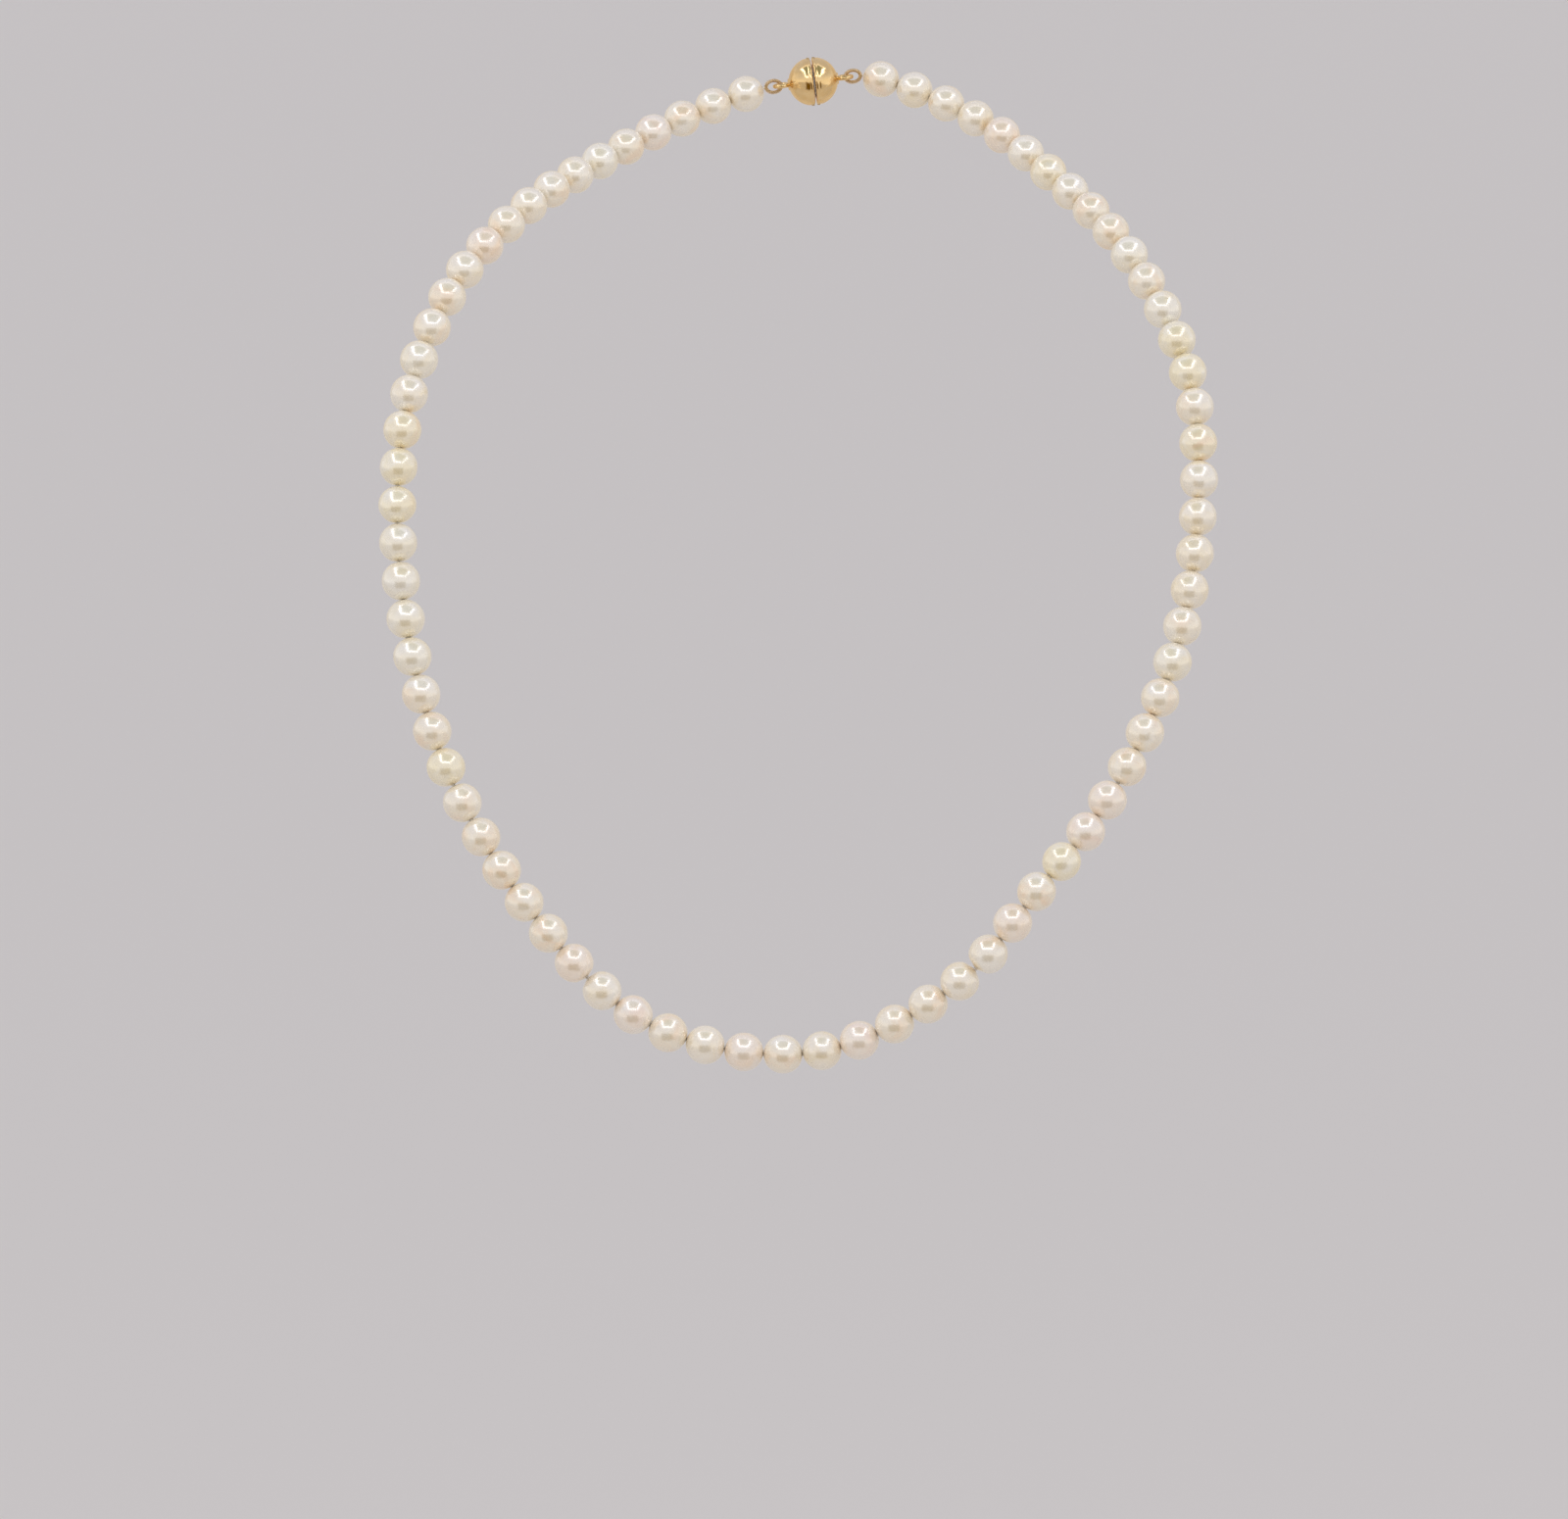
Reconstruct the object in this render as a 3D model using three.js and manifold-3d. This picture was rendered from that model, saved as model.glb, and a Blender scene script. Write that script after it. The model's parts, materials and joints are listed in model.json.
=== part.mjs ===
// A single-strand pearl necklace, closed round the neck and hanging on the chest.
// Millimetres. +Z is up, -Y is the wearer's front, and +X is to the right as seen from the front.
// The origin is the centre of the neck at the height where the strand passes its sides.
import * as THREE from "three";
import { mergeVertices } from "three/addons/utils/BufferGeometryUtils.js";
import Module from "manifold-3d";

const wasm = await Module();
wasm.setup();

// Driving dimensions
const PEARLS = 75;
const PEARL_RADIUS = 2.9;
const HOLE_RADIUS = 0.5;
const DRILL_PAST_END = 0.1;
const THREAD_RADIUS = 0.2;
const KNOT_RADIUS = 0.8;
const KNOT_LENGTH = 1.2;
const THREAD_END_GAP = 0.15;
const CLASP_LENGTH = 16.8;
const CLASP_SLIP = 4.6;
const CUP_RADIUS = 3.9;
const CUP_FACE = 0.15;
const MAGNET_RADIUS = 2.35;
const MAGNET_THICKNESS = 1.9;
const MAGNET_SINK = 0.05;
const MAGNET_CLEARANCE = 0.3;
const EYE_RADIUS = 1.15;
const EYE_WIRE = 0.35;
const EYE_CENTRE = 5.1;
const GIMP_WIRE = 0.3;
const GIMP_HALF_LENGTH = 1.25;
const GIMP_HALF_WIDTH = 0.95;
const GIMP_CENTRE = 6.45;

// Facets round each shape
const PEARL_SIDES = 8;
const PEARL_RINGS = 6;
const SMALL_SIDES = 4;
const WIRE_SIDES = 6;
const CUP_SIDES = 20;
const CUP_ARC_STEPS = 5;
const ROUTE_DIVISIONS = 2000;
const WELD_DISTANCE = 1e-4;

// The strand's route: from the nape, down the wearer's right side (-X), through the lowest
// pearl and up the other side. The drape isn't quite even, as a worn strand's never is.
const ROUTE = [
  [0, 51.5, 32.5],
  [-20.5, 46, 27.5],
  [-36, 33, 21],
  [-48, 16.5, 14.5],
  [-57.5, 1.5, 4],
  [-63, -12, -13.5],
  [-62, -23.5, -38],
  [-54.5, -33.5, -62],
  [-39.5, -41, -84],
  [-22, -43.5, -99],
  [2, -43.5, -102],
  [22.5, -43, -91],
  [33.5, -39.5, -78],
  [43.5, -32.5, -66.5],
  [52.5, -23.5, -50],
  [57, -11.5, -30.5],
  [56, 1.5, -8.5],
  [47, 16.5, 8],
  [34.5, 33, 18.5],
  [20, 46, 27],
].map(([x, y, z]) => new THREE.Vector3(x, y, z));

const route = new THREE.CatmullRomCurve3(ROUTE, true, "catmullrom", 0.5);
route.arcLengthDivisions = ROUTE_DIVISIONS;
const routeLength = route.getLength();
const pitch = (routeLength - CLASP_LENGTH) / PEARLS;

// Knots lie on the route, one pitch apart. Each pearl sits between two of them. The clasp has
// slipped a little way round from the nape, so the first and last knots have too.
const firstKnot = CLASP_SLIP + CLASP_LENGTH / 2;
const knots = Array.from({ length: PEARLS + 1 }, (_, j) =>
  route.getPointAt(((firstKnot + j * pitch) / routeLength) % 1),
);
const MIDDLE = (PEARLS - 1) / 2;

const materials = {
  pearl: new THREE.MeshStandardMaterial({ color: 0xf2e9da, roughness: 0.22, metalness: 0 }),
  silk: new THREE.MeshStandardMaterial({ color: 0xf1ece0, roughness: 0.9, metalness: 0 }),
  gold: new THREE.MeshStandardMaterial({ color: 0xd8ae5c, roughness: 0.25, metalness: 0.9 }),
  magnet: new THREE.MeshStandardMaterial({ color: 0xb9bbbe, roughness: 0.2, metalness: 1 }),
};

// A closed geometry as a solid that can be joined and cut.
function solidOf(geometry) {
  const bare = geometry.clone();
  bare.deleteAttribute("normal");
  bare.deleteAttribute("uv");
  const merged = mergeVertices(bare, WELD_DISTANCE);
  return new wasm.Manifold(
    new wasm.Mesh({
      numProp: 3,
      vertProperties: new Float32Array(merged.attributes.position.array),
      triVerts: new Uint32Array(merged.index.array),
    }),
  );
}

function geometryOf(solid) {
  const mesh = solid.getMesh();
  const geometry = new THREE.BufferGeometry();
  geometry.setAttribute("position", new THREE.BufferAttribute(mesh.vertProperties, 3));
  geometry.setIndex(new THREE.BufferAttribute(mesh.triVerts, 1));
  geometry.computeVertexNormals();
  return geometry;
}

// Turns a geometry whose long axis is Y along a direction, and moves its centre to a place.
function aim(geometry, direction, place) {
  const turn = new THREE.Quaternion().setFromUnitVectors(new THREE.Vector3(0, 1, 0), direction);
  return geometry.applyQuaternion(turn).translate(place.x, place.y, place.z);
}

function pearlCentre(k) {
  return knots[k].clone().add(knots[k + 1]).multiplyScalar(0.5);
}

function pearlAxis(k) {
  return knots[k + 1].clone().sub(knots[k]).normalize();
}

// Neighbouring pearls, held together by the silk knots between them and drilled right through.
function pearlRun(name, first, count) {
  const centre = knots[first].clone().add(knots[first + count]).multiplyScalar(0.5);
  let run = null;
  for (let k = first; k < first + count; k++) {
    const place = pearlCentre(k).sub(centre);
    const ball = new THREE.SphereGeometry(PEARL_RADIUS, PEARL_SIDES, PEARL_RINGS);
    const pearl = solidOf(aim(ball, pearlAxis(k), place));
    run = run ? run.add(pearl) : pearl;
  }
  for (let j = first + 1; j < first + count; j++) {
    const along = pearlAxis(j - 1).add(pearlAxis(j)).normalize();
    const bead = new THREE.CylinderGeometry(KNOT_RADIUS, KNOT_RADIUS, KNOT_LENGTH, SMALL_SIDES);
    run = run.add(solidOf(aim(bead, along, knots[j].clone().sub(centre))));
  }
  for (let k = first; k < first + count; k++) {
    const depth = pitch + 2 * DRILL_PAST_END;
    const drill = new THREE.CylinderGeometry(HOLE_RADIUS, HOLE_RADIUS, depth, SMALL_SIDES);
    run = run.subtract(solidOf(aim(drill, pearlAxis(k), pearlCentre(k).sub(centre))));
  }
  const mesh = new THREE.Mesh(geometryOf(run), materials.pearl);
  mesh.name = name;
  mesh.position.copy(centre);
  return mesh;
}

// The silk inside a run of pearls, straight from knot to knot.
function thread(name, first, last) {
  const points = knots.slice(first, last + 1).map((p) => p.clone());
  const end = points.length - 1;
  const start = points[0].clone();
  const inset = (from, to) =>
    from.addScaledVector(to.clone().sub(from).normalize(), THREAD_END_GAP);
  inset(points[0], points[1]);
  inset(points[end], points[end - 1]);
  points.forEach((p) => p.sub(start));
  const path = new THREE.CurvePath();
  for (let j = 0; j < end; j++) path.add(new THREE.LineCurve3(points[j], points[j + 1]));
  const corners = [];
  for (let j = 0; j < SMALL_SIDES; j++) {
    const angle = (j * 2 * Math.PI) / SMALL_SIDES;
    corners.push(
      new THREE.Vector2(THREAD_RADIUS * Math.cos(angle), THREAD_RADIUS * Math.sin(angle)),
    );
  }
  const geometry = new THREE.ExtrudeGeometry(new THREE.Shape(corners), {
    steps: 2 * end,
    bevelEnabled: false,
    extrudePath: path,
  });
  const mesh = new THREE.Mesh(geometry, materials.silk);
  mesh.name = name;
  mesh.position.copy(start);
  return mesh;
}

// One half of the ball clasp, in its own frame: the parting plane is Y = 0 and the eye is at +Y.
function claspHalf(side) {
  const half = new THREE.Group();
  const recess = MAGNET_RADIUS + MAGNET_CLEARANCE;
  const floor = CUP_FACE + MAGNET_SINK + MAGNET_THICKNESS + MAGNET_CLEARANCE;
  const profile = [
    new THREE.Vector2(0, floor),
    new THREE.Vector2(recess, floor),
    new THREE.Vector2(recess, CUP_FACE),
  ];
  for (let j = 0; j <= CUP_ARC_STEPS; j++) {
    const angle = (j * Math.PI) / 2 / CUP_ARC_STEPS;
    const radius = j === CUP_ARC_STEPS ? 0 : CUP_RADIUS * Math.cos(angle);
    profile.push(new THREE.Vector2(radius, CUP_FACE + CUP_RADIUS * Math.sin(angle)));
  }
  const bowl = new THREE.LatheGeometry(profile, CUP_SIDES);
  const eye = new THREE.TorusGeometry(EYE_RADIUS, EYE_WIRE, WIRE_SIDES, 2 * WIRE_SIDES);
  eye.translate(0, EYE_CENTRE, 0);
  const cup = new THREE.Mesh(geometryOf(solidOf(bowl).add(solidOf(eye))), materials.gold);
  cup.name = "clasp_cup_" + side;

  const disc = new THREE.CylinderGeometry(
    MAGNET_RADIUS,
    MAGNET_RADIUS,
    MAGNET_THICKNESS,
    CUP_SIDES,
  );
  const magnet = new THREE.Mesh(disc, materials.magnet);
  magnet.name = "clasp_magnet_" + side;
  magnet.position.y = CUP_FACE + MAGNET_SINK + MAGNET_THICKNESS / 2;

  const loop = new THREE.TorusGeometry(1, GIMP_WIRE, SMALL_SIDES, 2 * WIRE_SIDES);
  loop.scale(GIMP_HALF_WIDTH, GIMP_HALF_LENGTH, 1);
  loop.rotateY(Math.PI / 2);
  const gimp = new THREE.Mesh(loop, materials.gold);
  gimp.name = "gimp_loop_" + side;
  gimp.position.y = GIMP_CENTRE;

  half.add(cup, magnet, gimp);
  return half;
}

// The clasp lies straight between the strand's two end knots.
const claspCentre = knots[0].clone().add(knots[PEARLS]).multiplyScalar(0.5);
function placedClaspHalf(side) {
  const half = claspHalf(side);
  const outward = (side === "left" ? knots[0] : knots[PEARLS]).clone().sub(claspCentre).normalize();
  const across = new THREE.Vector3(0, 0, 1).cross(outward).normalize();
  const upright = new THREE.Vector3().crossVectors(across, outward);
  half.quaternion.setFromRotationMatrix(new THREE.Matrix4().makeBasis(across, outward, upright));
  half.position.copy(claspCentre);
  return half;
}

// Pearls in pairs, numbered up each side from the lowest pearl, with three in the middle.
// Pair n on the left is pearls MIDDLE - 2n - 1 and MIDDLE - 2n; on the right MIDDLE + 2n and on.
function pair(side, n) {
  const label = "pearls_" + side + "_" + String(n).padStart(2, "0");
  const first = side === "left" ? MIDDLE - 2 * n - 1 : MIDDLE + 2 * n;
  return pearlRun(label, first, 2);
}

// Each stretch of the strand is one group, from pair `low` up to pair `high` on both sides.
const STRETCHES = [
  { name: "neck", low: 12, high: 14, sides: ["left", "right"] },
  { name: "collarbone", low: 9, high: 11, sides: ["left", "right"] },
  { name: "chest", low: 6, high: 8, sides: ["left", "right"] },
  { name: "lower", low: 3, high: 5, sides: ["left", "right"] },
  { name: "tail", low: 15, high: 16, sides: ["left"] },
  { name: "tail", low: 15, high: 16, sides: ["right"] },
  { name: "clasp_end", low: 17, high: 18, sides: ["left"] },
  { name: "clasp_end", low: 17, high: 18, sides: ["right"] },
];
const FRONT_PAIRS = 2;

const necklace = new THREE.Group();
for (const { name, low, high, sides } of STRETCHES) {
  const stretch = new THREE.Group();
  for (const side of sides) {
    for (let n = low; n <= high; n++) stretch.add(pair(side, n));
    const ends =
      side === "left"
        ? [MIDDLE - 2 * high - 1, MIDDLE - 2 * low + 1]
        : [MIDDLE + 2 * low, MIDDLE + 2 * high + 2];
    stretch.add(thread("thread_" + name + "_" + side, ends[0], ends[1]));
    if (name === "clasp_end") stretch.add(placedClaspHalf(side));
  }
  necklace.add(stretch);
}

const front = new THREE.Group();
front.add(pearlRun("pearls_front", MIDDLE - 1, 3));
for (let n = 1; n <= FRONT_PAIRS; n++) front.add(pair("left", n), pair("right", n));
front.add(thread("thread_front", MIDDLE - 2 * FRONT_PAIRS - 1, MIDDLE + 2 * FRONT_PAIRS + 2));
necklace.add(front);

export default necklace;
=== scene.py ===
import bisect
import json
import math
import random

import bpy
from mathutils import Matrix, Vector, noise

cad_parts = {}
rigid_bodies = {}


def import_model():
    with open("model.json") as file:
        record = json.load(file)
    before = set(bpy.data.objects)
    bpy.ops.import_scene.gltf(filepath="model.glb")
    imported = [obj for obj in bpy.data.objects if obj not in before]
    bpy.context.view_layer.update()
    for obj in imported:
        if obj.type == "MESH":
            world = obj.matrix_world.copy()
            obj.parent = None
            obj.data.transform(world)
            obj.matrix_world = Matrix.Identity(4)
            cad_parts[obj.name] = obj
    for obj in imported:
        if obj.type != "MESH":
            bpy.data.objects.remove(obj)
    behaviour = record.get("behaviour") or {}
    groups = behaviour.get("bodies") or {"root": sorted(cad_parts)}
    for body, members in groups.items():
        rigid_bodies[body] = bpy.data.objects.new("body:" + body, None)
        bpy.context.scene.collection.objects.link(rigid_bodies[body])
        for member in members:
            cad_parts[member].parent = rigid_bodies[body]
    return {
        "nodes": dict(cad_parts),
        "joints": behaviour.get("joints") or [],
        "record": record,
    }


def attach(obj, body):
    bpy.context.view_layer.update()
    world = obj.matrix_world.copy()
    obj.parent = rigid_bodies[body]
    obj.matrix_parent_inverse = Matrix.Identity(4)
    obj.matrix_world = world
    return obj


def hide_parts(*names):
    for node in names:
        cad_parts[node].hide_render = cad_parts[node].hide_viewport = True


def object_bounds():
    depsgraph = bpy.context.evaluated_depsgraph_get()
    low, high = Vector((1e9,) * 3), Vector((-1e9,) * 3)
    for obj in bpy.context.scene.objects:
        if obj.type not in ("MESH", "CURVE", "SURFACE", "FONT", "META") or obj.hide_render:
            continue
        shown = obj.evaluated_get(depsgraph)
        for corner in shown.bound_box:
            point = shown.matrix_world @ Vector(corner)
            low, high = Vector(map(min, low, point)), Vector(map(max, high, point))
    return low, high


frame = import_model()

cad_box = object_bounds()
MM = 0.001

# The strand, as the frame has it
PEARLS = 75
MIDDLE = (PEARLS - 1) // 2
PEARL_RADIUS = 2.9 * MM
CLASP_LENGTH = 16.8 * MM
CLASP_SLIP = 4.6 * MM
ROUTE = [
    (0, 51.5, 32.5),
    (-20.5, 46, 27.5),
    (-36, 33, 21),
    (-48, 16.5, 14.5),
    (-57.5, 1.5, 4),
    (-63, -12, -13.5),
    (-62, -23.5, -38),
    (-54.5, -33.5, -62),
    (-39.5, -41, -84),
    (-22, -43.5, -99),
    (2, -43.5, -102),
    (22.5, -43, -91),
    (33.5, -39.5, -78),
    (43.5, -32.5, -66.5),
    (52.5, -23.5, -50),
    (57, -11.5, -30.5),
    (56, 1.5, -8.5),
    (47, 16.5, 8),
    (34.5, 33, 18.5),
    (20, 46, 27),
]
ROUTE_STEPS = 200

# A pearl's surface. Depths with no unit are shares of its radius, and angles are in degrees.
PEARL_SEGMENTS = 44
PEARL_RINGS = 26
BORE_RADIUS = 0.32 * MM
MOUTH_RADIUS = 0.35 * MM
MOUTH_DEPTH = 0.01 * MM
RUBBED_DEPTH = 0.001
RUBBED_ANGLE = 20
LUMP_SCALE = 1.1
RIPPLE_SCALE = 5
RELIEF_LEVEL = 0.6
RING_WIDTH = 0.07
RING_CHANCE = 0.22
NEIGHBOUR_GAP = 0.004 * MM

# Silk
PLY_RADIUS = 0.1 * MM
PLIES = 3
PLY_TURNS = 4
PLY_STEPS = 6
PLY_SIDES = 5
KNOT_UNIT = 0.07 * MM
KNOT_TUBE = 0.085 * MM
KNOT_STEPS = 48
KNOT_SIDES = 6
KNOT_HEIGHT = 1.1
KNOT_TWIST = 1.7

# Clasp, measured from its parting plane along the strand
CUP_RADIUS = 3.9 * MM
CUP_FACE = 0.15 * MM
MAGNET_RADIUS = 2.35 * MM
MAGNET_NEAR = 0.2 * MM
MAGNET_FAR = 2.1 * MM
RECESS_RADIUS = 2.65 * MM
RECESS_FLOOR = 2.4 * MM
EYE_CENTRE = 5.1 * MM
EYE_RADIUS = 1.15 * MM
EYE_WIRE = 0.35 * MM
GIMP_CENTRE = 6.45 * MM
GIMP_HALF_LENGTH = 1.25 * MM
GIMP_HALF_WIDTH = 0.95 * MM
GIMP_COIL = 0.26 * MM
GIMP_WIRE = 0.055 * MM
GIMP_TURNS = 52
GIMP_STEPS = 8


# ---------------------------------------------------------------- route

def catmull_rom(p, t):
    """A point on the uniform Catmull-Rom curve through p[1] and p[2]."""
    a = 2 * p[1]
    b = p[2] - p[0]
    c = 2 * p[0] - 5 * p[1] + 4 * p[2] - p[3]
    d = 3 * p[1] - p[0] - 3 * p[2] + p[3]
    return (a + b * t + c * t * t + d * t ** 3) / 2


def route_polyline():
    corners = [Vector(p) * MM for p in ROUTE]
    count = len(corners)
    line = []
    for i in range(count):
        four = [corners[(i + j - 1) % count] for j in range(4)]
        line += [catmull_rom(four, s / ROUTE_STEPS) for s in range(ROUTE_STEPS)]
    return line + [line[0]]


def strand_knots():
    """Where the strand's knots are: one pitch apart along the route, from clasp to clasp."""
    line = route_polyline()
    run = [0.0]
    for a, b in zip(line, line[1:]):
        run.append(run[-1] + (b - a).length)
    pitch = (run[-1] - CLASP_LENGTH) / PEARLS
    places = []
    for j in range(PEARLS + 1):
        s = (CLASP_SLIP + CLASP_LENGTH / 2 + j * pitch) % run[-1]
        i = max(1, bisect.bisect_left(run, s))
        share = (s - run[i - 1]) / (run[i] - run[i - 1])
        places.append(line[i - 1].lerp(line[i], share))
    return places


knots = strand_knots()
body_of = {n: b for b, ns in frame["record"]["behaviour"]["bodies"].items() for n in ns}


# ---------------------------------------------------------------- mesh helpers

def new_mesh(name, points, faces, material, place=Matrix.Identity(4)):
    """A piece whose mesh is placed in the frame's own axes, as the CAD nodes are."""
    mesh = bpy.data.meshes.new(name)
    mesh.from_pydata([tuple(place @ Vector(p)) for p in points], [], faces)
    mesh.validate()
    mesh.shade_smooth()
    mesh.materials.append(material)
    piece = bpy.data.objects.new(name, mesh)
    bpy.context.scene.collection.objects.link(piece)
    return piece


def angles(count):
    """Equal steps round a full turn, in radians."""
    return [2 * math.pi * i / count for i in range(count)]


def grid_faces(rows, columns, wrap_rows=False):
    """Quads over rows of points, each row a closed loop of columns."""
    faces = []
    for r in range(rows if wrap_rows else rows - 1):
        row, above = r * columns, (r + 1) % rows * columns
        for c in range(columns):
            after = (c + 1) % columns
            faces.append((row + c, row + after, above + after, above + c))
    return faces


def tube(points, radius, sides, closed=False):
    """A round tube along points: its vertices and faces. Open tubes get flat ends."""
    count = len(points)
    side = None
    rows = []
    for i, p in enumerate(points):
        before = points[i - 1] if i or closed else p
        after = points[(i + 1) % count] if i < count - 1 or closed else p
        along = (after - before).normalized()
        if side is None:
            side = along.orthogonal()
        side = (side - along * side.dot(along)).normalized()
        other = along.cross(side)
        for angle in angles(sides):
            rows.append(p + (side * math.cos(angle) + other * math.sin(angle)) * radius)
    faces = grid_faces(count, sides, wrap_rows=closed)
    if not closed:
        faces.append(tuple(reversed(range(sides))))
        faces.append(tuple(range((count - 1) * sides, count * sides)))
    return rows, faces


def joined(parts):
    """Several lots of vertices and faces as one."""
    points, faces = [], []
    for some, quads in parts:
        first = len(points)
        points += some
        faces += [tuple(first + i for i in q) for q in quads]
    return points, faces


def lathe(profile, segments):
    """A closed profile of (radius, height) turned about Z. Points on the axis are merged."""
    points, rings = [], []
    for radius, height in profile:
        if radius < 1e-9:
            rings.append([len(points)] * segments)
            points.append(Vector((0, 0, height)))
            continue
        rings.append(list(range(len(points), len(points) + segments)))
        for angle in angles(segments):
            points.append(Vector((radius * math.cos(angle), radius * math.sin(angle), height)))
    faces = []
    for lower, upper in zip(rings, rings[1:]):
        for s in range(segments):
            t = (s + 1) % segments
            corner = []
            for i in (lower[s], lower[t], upper[t], upper[s]):
                if i not in corner:
                    corner.append(i)
            if len(corner) > 2:
                faces.append(tuple(corner))
    return points, faces


# ---------------------------------------------------------------- materials

def set_inputs(node, values):
    for name, value in values.items():
        node.inputs[name].default_value = value


def material_nodes(name):
    material = bpy.data.materials.new(name)
    material.use_nodes = True
    nodes = material.node_tree.nodes
    shader = nodes["Principled BSDF"]
    return material, nodes, material.node_tree.links, shader


def noise_node(nodes, links, scale, detail, roughness=0.5, distortion=0.0):
    coordinate = nodes.new("ShaderNodeTexCoord")
    texture = nodes.new("ShaderNodeTexNoise")
    set_inputs(texture, {
        "Scale": scale,
        "Detail": detail,
        "Roughness": roughness,
        "Distortion": distortion,
    })
    links.new(coordinate.outputs["Object"], texture.inputs["Vector"])
    return texture


def colour_ramp(nodes, links, source, stops):
    ramp = nodes.new("ShaderNodeValToRGB")
    elements = ramp.color_ramp.elements
    while len(elements) < len(stops):
        elements.new(0.5)
    for element, (place, colour) in zip(elements, stops):
        element.position = place
        element.color = (*colour, 1)
    links.new(source, ramp.inputs["Fac"])
    return ramp


def bump_node(nodes, links, shader, source, strength, distance):
    bump = nodes.new("ShaderNodeBump")
    set_inputs(bump, {"Strength": strength, "Distance": distance})
    links.new(source, bump.inputs["Height"])
    links.new(bump.outputs["Normal"], shader.inputs["Normal"])


def vary_roughness(nodes, links, shader, source, low, high):
    spread = nodes.new("ShaderNodeMapRange")
    set_inputs(spread, {"To Min": low, "To Max": high})
    links.new(source, spread.inputs["Value"])
    links.new(spread.outputs["Result"], shader.inputs["Roughness"])


def blend_colours(a, b, share):
    return tuple(x + (y - x) * share for x, y in zip(a, b))


NACRE_LIGHT = (0.97, 0.93, 0.82)
NACRE_ROUGHNESS = (0.2, 0.34)
NACRE_RELIEF = 0.08 * MM
NACRE_SURFACE = {
    "Metallic": 0.18,
    "IOR": 1.9,
    "Specular IOR Level": 0.9,
    "Specular Tint": (0.86, 0.89, 1.0, 1),
    "Coat Weight": 1.0,
    "Coat IOR": 1.7,
    "Coat Roughness": 0.15,
    "Sheen Weight": 0.05,
    "Sheen Roughness": 0.4,
    "Sheen Tint": (1.0, 0.93, 0.9, 1),
}


def pearl_material(name, body, tint, wrinkle):
    """Nacre: a cloudy warm body, a broad cool lustre, and a glossy, wrinkled top."""
    material, nodes, links, shader = material_nodes(name)
    clouds = noise_node(nodes, links, scale=240, detail=3, roughness=0.55, distortion=0.8)
    ramp = colour_ramp(nodes, links, clouds.outputs["Fac"], [
        (0.3, blend_colours(body, tint, 0.9)),
        (0.48, body),
        (0.7, blend_colours(body, NACRE_LIGHT, 0.6)),
    ])
    links.new(ramp.outputs["Color"], shader.inputs["Base Color"])
    skin = noise_node(nodes, links, scale=600, detail=2)
    vary_roughness(nodes, links, shader, skin.outputs["Fac"], *NACRE_ROUGHNESS)
    ripple = noise_node(nodes, links, scale=800, detail=1, roughness=0.4, distortion=0.2)
    bump_node(nodes, links, shader, ripple.outputs["Fac"], wrinkle, NACRE_RELIEF)
    set_inputs(shader, NACRE_SURFACE)
    return material


def silk_material():
    material, nodes, links, shader = material_nodes("silk")
    fibre = noise_node(nodes, links, scale=9000, detail=3, roughness=0.6, distortion=1.0)
    ramp = colour_ramp(nodes, links, fibre.outputs["Fac"], [
        (0.3, (0.93, 0.85, 0.7)),
        (0.7, (0.98, 0.95, 0.87)),
    ])
    links.new(ramp.outputs["Color"], shader.inputs["Base Color"])
    set_inputs(shader, {"Roughness": 0.75, "Sheen Weight": 0.4})
    bump_node(nodes, links, shader, fibre.outputs["Fac"], strength=0.5, distance=0.03 * MM)
    return material


METAL_POLISH = (0.7, 1.4)
METAL_RELIEF = 0.02 * MM


def metal_material(name, dark, light, roughness, scale, bump):
    """Metal whose polish varies round one roughness, with wear at one noise scale."""
    material, nodes, links, shader = material_nodes(name)
    wear = noise_node(nodes, links, scale, detail=4, roughness=0.6)
    ramp = colour_ramp(nodes, links, wear.outputs["Fac"], [(0.3, dark), (0.7, light)])
    links.new(ramp.outputs["Color"], shader.inputs["Base Color"])
    low, high = (roughness * share for share in METAL_POLISH)
    vary_roughness(nodes, links, shader, wear.outputs["Fac"], low, high)
    set_inputs(shader, {"Metallic": 1.0})
    bump_node(nodes, links, shader, wear.outputs["Fac"], bump, METAL_RELIEF)
    return material


# The strand is matched, but not perfectly: most pearls are cream, a few rosy, golden or pale.
# Each family has a few nacres, each a body colour and the tint of its clouds.
PEACH, STRAW = (0.975, 0.75, 0.5), (0.965, 0.82, 0.53)
NACRES = {
    "cream": [
        ((0.97, 0.86, 0.65), PEACH),
        ((0.97, 0.865, 0.665), STRAW),
        ((0.97, 0.855, 0.64), PEACH),
    ],
    "rosy": [((0.975, 0.83, 0.645), PEACH), ((0.975, 0.84, 0.665), (0.975, 0.76, 0.58))],
    "golden": [((0.965, 0.855, 0.575), STRAW), ((0.97, 0.845, 0.565), PEACH)],
    "pale": [((0.96, 0.88, 0.69), STRAW), ((0.96, 0.875, 0.67), (0.95, 0.83, 0.56))],
}
WRINKLES = (0.15, 0.38, 0.25)
FAMILIES = {
    "rosy": (3, 10, 31, 33, 36, 39, 44, 47, 48, 70),
    "golden": (16, 17, 18, 25, 46, 58, 60, 61, 68),
    "pale": (5, 14, 19, 20, 21, 22, 52, 62, 64),
}
nacres = {
    family: [
        pearl_material(f"nacre_{family}_{i + 1}", body, tint, WRINKLES[i])
        for i, (body, tint) in enumerate(shades)
    ]
    for family, shades in NACRES.items()
}
silk = silk_material()
gold = metal_material("gold_polished", (0.86, 0.58, 0.25), (0.95, 0.7, 0.36), 0.16, 700, 0.1)
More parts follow.
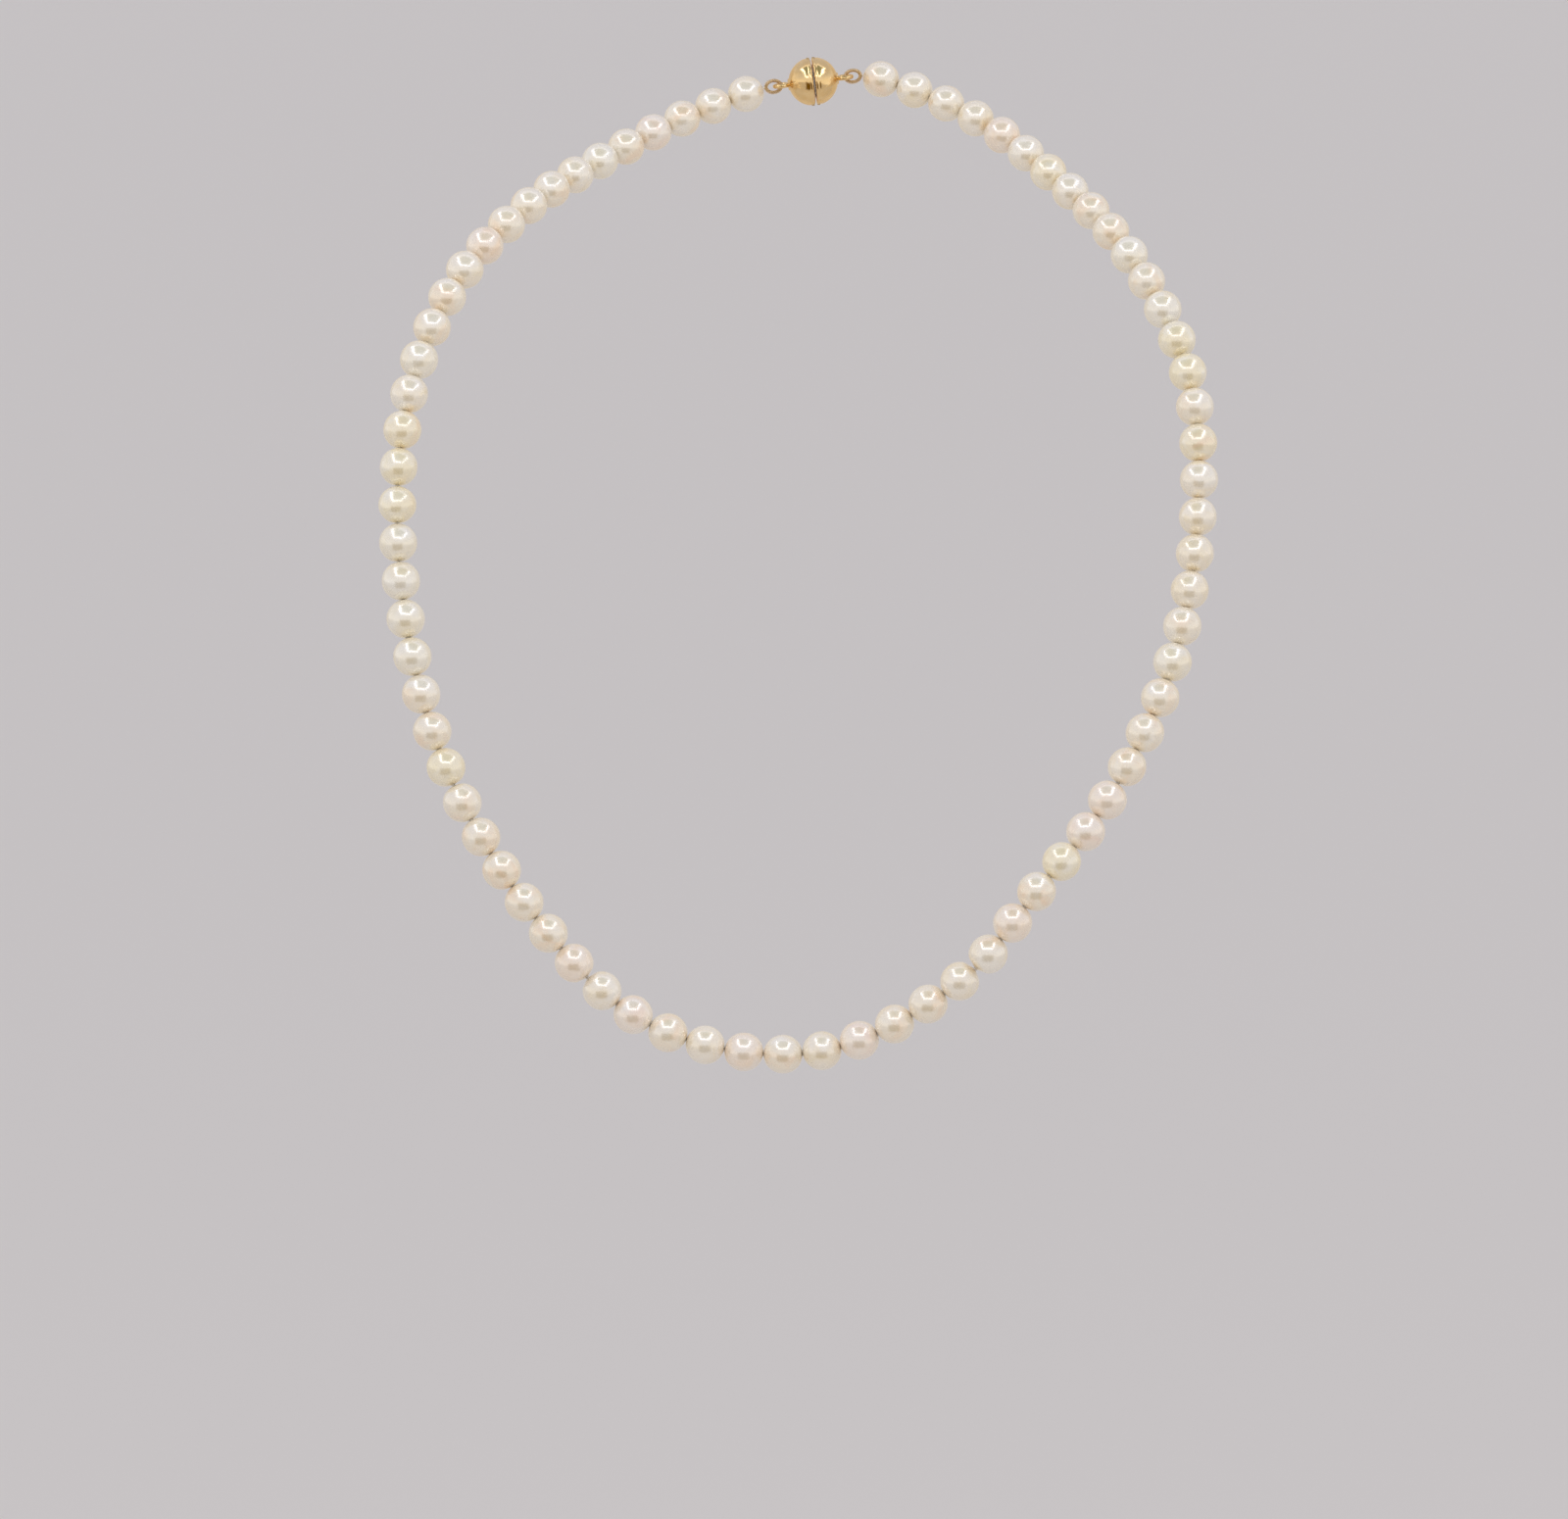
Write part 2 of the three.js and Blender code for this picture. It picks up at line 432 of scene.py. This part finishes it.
gold_wire = metal_material("gold_wire", (0.8, 0.55, 0.25), (0.93, 0.7, 0.4), 0.26, 4000, 0.2)
nickel = metal_material("nickel", (0.55, 0.54, 0.52), (0.68, 0.67, 0.65), 0.2, 1500, 0.15)


# ---------------------------------------------------------------- pearls

def pearl_profile():
    """From the mouth of the drilled hole at the bottom, round the outside, and back up the bore."""
    start = math.asin(MOUTH_RADIUS / PEARL_RADIUS)
    outside = []
    for i in range(PEARL_RINGS + 1):
        angle = start + (math.pi - 2 * start) * i / PEARL_RINGS
        outside.append((math.sin(angle), -math.cos(angle)))
    rim = math.cos(start) * PEARL_RADIUS - MOUTH_DEPTH
    inside = [(BORE_RADIUS, rim), (BORE_RADIUS, 0.0), (BORE_RADIUS, -rim)]
    return outside, inside


OUTSIDE, INSIDE = pearl_profile()


# Pearls that stand out: wrinkled, lumpy, bulged or ringed
ODD_PEARLS = {
    13: {"ripple": 0.004},
    17: {"ripple": 0.006, "lump": 0.012},
    18: {"length": 0.97, "ripple": 0.003, "bulge": (Vector((-0.75, -0.35, 0.56)), 0.6, 0.07)},
    31: {"ring": True, "ring_at": 0.35, "ring_depth": 0.012},
    41: {"ripple": 0.003},
    46: {"ripple": 0.0035, "lump": 0.01},
    50: {"ring": True, "ring_at": -0.2, "ring_depth": 0.01},
}


def pearl_shape(k):
    """How far pearl k is from a true sphere, as shares of its radius."""
    draw = random.Random(1000 + k)
    shape = {
        "length": 1 + draw.uniform(0.008, 0.013),
        "wide": 1 - draw.uniform(0, 0.012),
        "deep": 1 - draw.uniform(0, 0.012),
        "lump": draw.uniform(0.002, 0.006),
        "ripple": draw.uniform(0.0, 0.0012),
        "ring": draw.random() < RING_CHANCE,
        "ring_at": draw.uniform(-0.6, 0.6),
        "ring_depth": draw.uniform(0.004, 0.012),
        "pits": [],
        "bulge": None,
        "seed": Vector((draw.uniform(0, 90), draw.uniform(0, 90), draw.uniform(0, 90))),
        "turn": draw.uniform(0, 2 * math.pi),
    }
    for _ in range(draw.choice((0, 0, 0, 1, 2))):
        toward = Vector([draw.gauss(0, 1) for _ in range(3)]).normalized()
        shape["pits"].append((toward, draw.uniform(0.1, 0.18), draw.uniform(0.006, 0.016)))
    shape.update(ODD_PEARLS.get(k, {}))
    return shape


def family_of(k):
    for family, members in FAMILIES.items():
        if k in members:
            return family
    return "cream"


def shaped(direction, shape):
    """A pearl's radius in one direction, unstretched. Only a bulge passes PEARL_RADIUS."""
    lump = RELIEF_LEVEL + noise.noise(direction * LUMP_SCALE + shape["seed"])
    ripple = RELIEF_LEVEL + noise.noise(direction * RIPPLE_SCALE + shape["seed"])
    share = 1 - shape["lump"] * lump - shape["ripple"] * ripple
    tip = math.degrees(math.acos(min(abs(direction.z), 1)))
    share -= RUBBED_DEPTH * math.exp(-(tip / RUBBED_ANGLE) ** 2)
    if shape["ring"]:
        away = (direction.z - shape["ring_at"]) / RING_WIDTH
        share -= shape["ring_depth"] * math.exp(-away * away)
    for toward, width, depth in shape["pits"]:
        away = (direction - toward).length / width
        share -= depth * math.exp(-away * away)
    if shape["bulge"]:
        toward, width, height = shape["bulge"]
        away = (direction - toward).length / width
        return PEARL_RADIUS * (share + height * math.exp(-away * away))
    return PEARL_RADIUS * min(share, 1.0)


def node_of(k):
    """The frame's node that holds pearl k."""
    step = k - MIDDLE
    if abs(step) <= 1:
        return "pearls_front"
    return f"pearls_{'left' if step < 0 else 'right'}_{abs(step) // 2:02d}"


def bend_at(k, side):
    """The sharpest bend at one end of pearl k: the strand's own, plus what a joint there adds."""
    if not 0 <= k + side < PEARLS:
        return 0.0
    bend = (knots[k + 1] - knots[k]).angle(knots[k + side + 1] - knots[k + side])
    pair = {body_of[node_of(k)], body_of[node_of(k + side)]}
    for joint in frame["joints"]:
        if {joint["parent"], joint["child"]} == pair:
            bend += math.radians(max(abs(limit) for limit in joint["range_deg"]))
    return bend


def made_room(p, reach, bend):
    """Pulls in a point that would rub the neighbour when the strand bends that far."""
    tilt = bend / 2
    along = math.hypot(p.x, p.y) * math.sin(tilt) + abs(p.z) * math.cos(tilt)
    most = reach * math.cos(tilt)
    return p * (most / along) if along > most else p


def pearl(k):
    shape = pearl_shape(k)
    axis = knots[k + 1] - knots[k]
    reach = axis.length / 2 - NEIGHBOUR_GAP
    bends = bend_at(k, -1), bend_at(k, 1)
    points = []
    for ring, height in OUTSIDE:
        for angle in angles(PEARL_SEGMENTS):
            way = Vector((ring * math.cos(angle), ring * math.sin(angle), height))
            p = way * shaped(way, shape)
            p = Vector((p.x * shape["wide"], p.y * shape["deep"], p.z * shape["length"]))
            points.append(made_room(p, reach, bends[height > 0]))
    for radius, height in INSIDE:
        z = height * shape["length"]
        for angle in angles(PEARL_SEGMENTS):
            p = Vector((radius * math.cos(angle), radius * math.sin(angle), z))
            points.append(made_room(p, reach - MOUTH_DEPTH, bends[height > 0]))
    rows = len(OUTSIDE) + len(INSIDE)
    faces = grid_faces(rows, PEARL_SEGMENTS, wrap_rows=True)
    family = nacres[family_of(k)]
    nacre = family[random.Random(77 + k).randrange(len(family))]
    turn = axis.to_track_quat("Z", "Y").to_matrix().to_4x4()
    centre = Matrix.Translation((knots[k] + knots[k + 1]) / 2)
    place = centre @ turn @ Matrix.Rotation(shape["turn"], 4, "Z")
    return new_mesh(f"pearl_{k + 1:02d}", points, faces, nacre, place)


for k in range(PEARLS):
    piece = pearl(k)
    node = node_of(k)
    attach(piece, body_of[node])
    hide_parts(node)


# ---------------------------------------------------------------- silk

def ply_paths(points):
    """Three plies twisted round a path from knot to knot."""
    paths = [[] for _ in range(PLIES)]
    steps = PLY_TURNS * PLY_STEPS
    for a, b in zip(points, points[1:]):
        along = (b - a).normalized()
        side = along.orthogonal().normalized()
        other = along.cross(side)
        for i in range(steps):
            angle = 2 * math.pi * i / PLY_STEPS
            for ply, path in enumerate(paths):
                turn = angle + 2 * math.pi * ply / PLIES
                away = (side * math.cos(turn) + other * math.sin(turn)) * PLY_RADIUS
                path.append(a.lerp(b, i / steps) + away)
    return paths


def knot_mesh(place, along, seed):
    """An overhand knot pulled tight, seen as a small trefoil of silk."""
    turn = along.to_track_quat("Z", "Y").to_matrix() @ Matrix.Rotation(seed * KNOT_TWIST, 3, "Z")
    points = []
    for t in angles(KNOT_STEPS):
        x = math.sin(t) + 2 * math.sin(2 * t)
        y = math.cos(t) - 2 * math.cos(2 * t)
        z = -KNOT_HEIGHT * math.sin(3 * t)
        points.append(place + turn @ Vector((x, y, z)) * KNOT_UNIT)
    return tube(points, KNOT_TUBE, KNOT_SIDES, closed=True)


def stretch_knots(side, low, high):
    """First and last knot of the stretch from pair low to pair high."""
    if side == "left":
        return MIDDLE - 2 * high - 1, MIDDLE - 2 * low + 1
    return MIDDLE + 2 * low, MIDDLE + 2 * high + 2


# Each stretch's first and last pair of pearls, counted from the front.
# A knot between two stretches belongs to the one that comes first here.
STRETCHES = [
    ("neck", 12, 14),
    ("collarbone", 9, 11),
    ("chest", 6, 8),
    ("lower", 3, 5),
    ("tail", 15, 16),
    ("clasp_end", 17, 18),
]
runs = [
    (f"{name}_{side}", *stretch_knots(side, low, high))
    for name, low, high in STRETCHES
    for side in ("left", "right")
]
runs.append(("front", MIDDLE - 5, MIDDLE + 6))
tied = set()
for name, first, last in runs:
    parts = [tube(path, PLY_RADIUS, PLY_SIDES) for path in ply_paths(knots[first:last + 1])]
    for j in range(first, last + 1):
        if j in tied:
            continue
        tied.add(j)
        along = knots[min(j + 1, PEARLS)] - knots[max(j - 1, 0)]
        parts.append(knot_mesh(knots[j], along, j))
    piece = new_mesh(f"silk_{name}", *joined(parts), silk)
    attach(piece, body_of[f"thread_{name}"])
    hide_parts(f"thread_{name}")


# ---------------------------------------------------------------- clasp

CUP_SEGMENTS = 72
CUP_BEVEL = 0.1 * MM
RIM_HEIGHT = 0.6 * MM
RIM_STEP = 0.16 * MM
DOME_START, DOME_END, DOME_STEPS = 14, 76, 15
MILGRAIN = 36
MILGRAIN_DEPTH = 0.012
FLUTES = 12
FLUTE_DEPTH = 0.02
FLUTES_FROM, FLUTES_TO = 0.8 * MM, 74


def cup_profile():
    floor_corner = 0.2 * MM
    profile = [
        (0, RECESS_FLOOR),
        (RECESS_RADIUS - floor_corner, RECESS_FLOOR),
        (RECESS_RADIUS, RECESS_FLOOR - floor_corner),
        (RECESS_RADIUS, CUP_FACE + CUP_BEVEL),
        (RECESS_RADIUS + CUP_BEVEL, CUP_FACE),
        (CUP_RADIUS - 0.25 * MM, CUP_FACE),
        (CUP_RADIUS - 0.05 * MM, CUP_FACE + CUP_BEVEL),
        (CUP_RADIUS, CUP_FACE + 0.3 * MM),
        (CUP_RADIUS - 0.04 * MM, CUP_FACE + 0.5 * MM),
        (CUP_RADIUS - RIM_STEP, CUP_FACE + RIM_HEIGHT),
        (CUP_RADIUS - RIM_STEP, CUP_FACE + 0.75 * MM),
    ]
    shell = CUP_RADIUS - 0.05 * MM
    for i in range(DOME_STEPS + 1):
        angle = math.radians(DOME_START + (DOME_END - DOME_START) * i / DOME_STEPS)
        profile.append((shell * math.cos(angle), CUP_FACE + shell * math.sin(angle)))
    collar = shell * math.cos(math.radians(DOME_END))
    top = CUP_FACE + shell * math.sin(math.radians(DOME_END))
    profile += [
        (collar, top + 0.12 * MM),
        (collar - 0.12 * MM, top + 0.2 * MM),
        (0.45 * MM, top + 0.22 * MM),
        (0, top + 0.22 * MM),
    ]
    return profile


def cup_mesh():
    """A cup with a milgrain rim, a fluted dome and a wire eye on its top."""
    points, faces = lathe(cup_profile(), CUP_SEGMENTS)
    low = CUP_FACE + FLUTES_FROM
    high = CUP_FACE + CUP_RADIUS * math.sin(math.radians(FLUTES_TO))
    rim_low, rim_high = CUP_FACE + 0.05 * MM, CUP_FACE + 0.55 * MM
    for p in points:
        radius = math.hypot(p.x, p.y)
        angle = math.atan2(p.y, p.x)
        share = 1
        if radius > RECESS_RADIUS + 0.3 * MM and rim_low < p.z < rim_high:
            share -= MILGRAIN_DEPTH * (1 - math.cos(MILGRAIN * angle))
        elif low < p.z < high and radius > 0.9 * MM:
            fade = math.sin(math.pi * (p.z - low) / (high - low))
            share -= FLUTE_DEPTH * fade * (1 - abs(math.sin(FLUTES / 2 * angle)))
        p.x *= share
        p.y *= share
    eye = [
        Vector((EYE_RADIUS * math.cos(t), 0, EYE_CENTRE + EYE_RADIUS * math.sin(t)))
        for t in angles(32)
    ]
    return joined([(points, faces), tube(eye, EYE_WIRE, 12, closed=True)])


def magnet_mesh():
    edge = 0.12 * MM
    return lathe([
        (0, MAGNET_NEAR),
        (MAGNET_RADIUS - edge, MAGNET_NEAR),
        (MAGNET_RADIUS, MAGNET_NEAR + edge),
        (MAGNET_RADIUS, MAGNET_FAR - edge),
        (MAGNET_RADIUS - edge, MAGNET_FAR),
        (0, MAGNET_FAR),
    ], 48)


def gimp_path(t):
    return Vector((0, GIMP_HALF_WIDTH * math.cos(t), GIMP_CENTRE + GIMP_HALF_LENGTH * math.sin(t)))


def gimp_mesh():
    """Fine wire coiled round an oval loop, with its two ends meeting at the strand's end knot."""
    wire = []
    for i, t in enumerate(angles(GIMP_TURNS * GIMP_STEPS)):
        here = gimp_path(t)
        along = (gimp_path(t + 0.01) - gimp_path(t - 0.01)).normalized()
        side = Vector((1, 0, 0))
        other = along.cross(side)
        angle = 2 * math.pi * i / GIMP_STEPS
        wire.append(here + (side * math.cos(angle) + other * math.sin(angle)) * GIMP_COIL)
    return tube(wire, GIMP_WIRE, 5, closed=True)


def loop_silk_mesh():
    """The silk inside the gimp loop, and its short neck back to the end knot."""
    loop = [gimp_path(t) for t in angles(40)]
    neck = [Vector((0, 0, GIMP_CENTRE + GIMP_HALF_LENGTH)), Vector((0, 0, CLASP_LENGTH / 2))]
    return joined([tube(loop, 0.17 * MM, 8, closed=True), tube(neck, 0.19 * MM, 8)])


clasp_centre = (knots[0] + knots[PEARLS]) / 2


def clasp_place(side):
    end = knots[0] if side == "left" else knots[PEARLS]
    outward = (end - clasp_centre).normalized()
    front = Vector((0, 0, 1)).cross(outward).normalized()
    up = front.cross(outward)
    turn = Matrix((front, -up, outward)).transposed().to_4x4()
    return Matrix.Translation(clasp_centre) @ turn


CLASP_PIECES = [
    ("clasp_cup", cup_mesh, gold, "gold"),
    ("clasp_magnet", magnet_mesh, nickel, "magnet"),
    ("gimp_loop", gimp_mesh, gold_wire, "gold_wire"),
    ("loop_silk", loop_silk_mesh, silk, "silk"),
]
for side in ("left", "right"):
    for name, make, material, slot in CLASP_PIECES:
        piece = new_mesh(f"{name}_{side}_look", *make(), material, clasp_place(side))
        node = f"{name}_{side}"
        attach(piece, f"clasp_end_{side}")
        if node in frame["nodes"]:
            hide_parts(node)


# ---------------------------------------------------------------- studio

FLOOR_DROP = 0.4
FLOOR_HALF = 6.0
LIGHTS_CENTRE = Vector((0, -0.13, 0.26))
LIGHTS_HALF = 0.2
STRIP_WIDTH = 0.045
STRIP_COLOUR = (0.92, 0.93, 1.0)
PANEL_RISE = 0.005
floor_height = cad_box[0][2] - FLOOR_DROP
card_foot = floor_height + 0.01


def square(half):
    """The corners of a level square round the origin, as (x, y)."""
    return (-half, -half), (half, -half), (half, half), (-half, half)


def studio_floor():
    corners = [(x, y, floor_height) for x, y in square(FLOOR_HALF)]
    material, _, _, shader = material_nodes("floor")
    set_inputs(shader, {"Base Color": (0.85, 0.805, 0.73, 1), "Roughness": 0.9})
    new_mesh("floor", corners, [(0, 1, 2, 3)], material)


def reflected_card(name, corners, colour):
    """A card that only reflections show: it neither lights the object nor shades it."""
    material, _, _, shader = material_nodes(name)
    set_inputs(shader, {
        "Base Color": (0, 0, 0, 1),
        "Specular IOR Level": 0,
        "Emission Color": (*colour, 1),
        "Emission Strength": 1,
    })
    card = new_mesh(name, corners, [(0, 1, 2, 3)], material)
    card.visible_camera = False
    card.visible_diffuse = False
    card.visible_shadow = False
    card.visible_transmission = False


def upright_card(name, half, y, top, colour):
    """A reflected card just over the floor, facing along Y."""
    corners = [(-half, y, card_foot), (half, y, card_foot), (half, y, top), (-half, y, top)]
    reflected_card(name, corners, colour)


def strip_light(name, place, turn, long, wide, radiance):
    data = bpy.data.lights.new(name, "AREA")
    data.shape = "RECTANGLE"
    data.size = long
    data.size_y = wide
    data.energy = radiance * math.pi * long * wide
    data.color = STRIP_COLOUR
    light = bpy.data.objects.new(name, data)
    bpy.context.scene.collection.objects.link(light)
    light.matrix_world = Matrix.Translation(place) @ turn
    light.visible_camera = False


def light_frame():
    """Four light strips in a square overhead, a little in front, round a grey ceiling panel."""
    half = LIGHTS_HALF
    along_x = Matrix.Identity(4)
    along_y = Matrix.Rotation(math.pi / 2, 4, "Z")
    strips = [
        ("front", (0, -half), along_x, 5),
        ("back", (0, half), along_x, 0.5),
        ("left", (-half, 0), along_y, 3.9),
        ("right", (half, 0), along_y, 3.9),
    ]
    for name, (x, y), turn, radiance in strips:
        place = LIGHTS_CENTRE + Vector((x, y, 0))
        strip_light(f"strip_{name}", place, turn, 2 * half, STRIP_WIDTH, radiance)
    panel = [
        LIGHTS_CENTRE + Vector((x, y, PANEL_RISE))
        for x, y in square(half - STRIP_WIDTH / 2)
    ]
    reflected_card("ceiling_panel", panel, (0.3, 0.33, 0.28))


def studio_world():
    """A white tent, brighter overhead."""
    world = bpy.data.worlds.new("tent")
    bpy.context.scene.world = world
    world.use_nodes = True
    nodes, links = world.node_tree.nodes, world.node_tree.links
    way = nodes.new("ShaderNodeTexCoord")
    split = nodes.new("ShaderNodeSeparateXYZ")
    links.new(way.outputs["Generated"], split.inputs["Vector"])
    ramp = colour_ramp(nodes, links, split.outputs["Z"], [
        (0.0, (1.0, 0.96, 0.92)),
        (0.6, (0.6, 0.61, 0.7)),
    ])
    links.new(ramp.outputs["Color"], nodes["Background"].inputs["Color"])
    nodes["Background"].inputs["Strength"].default_value = 1.0


CAMERA_DISTANCE = 0.7
CAMERA_AZIMUTH = 3.5
CAMERA_ELEVATION = 15
CAMERA_TARGET = Vector((-0.006, 0, -0.0687))
CAMERA_LENS = 102.8


def camera():
    azimuth, elevation = math.radians(CAMERA_AZIMUTH), math.radians(CAMERA_ELEVATION)
    back = Vector((
        math.sin(azimuth) * math.cos(elevation),
        -math.cos(azimuth) * math.cos(elevation),
        math.sin(elevation),
    ))
    data = bpy.data.cameras.new("camera")
    data.sensor_width = 36
    data.lens = CAMERA_LENS
    data.clip_start = 0.01
    eye = bpy.data.objects.new("camera", data)
    bpy.context.scene.collection.objects.link(eye)
    eye.matrix_world = Matrix.Translation(CAMERA_TARGET + back * CAMERA_DISTANCE) @ (
        back.to_track_quat("Z", "Y").to_matrix().to_4x4()
    )
    bpy.context.scene.camera = eye


studio_floor()
light_frame()
# What the pearls' middles mirror: the warm dark opening that the camera looks in through.
upright_card("front_opening", half=0.46, y=-0.75, top=0.05, colour=(0.16, 0.09, 0.0))
# What their rims mirror: the dull warm backdrop that a strand is shown against.
upright_card("backdrop", half=0.6, y=0.3, top=0.2, colour=(0.66, 0.6, 0.53))
studio_world()
camera()
bpy.context.scene.view_settings.view_transform = "Standard"
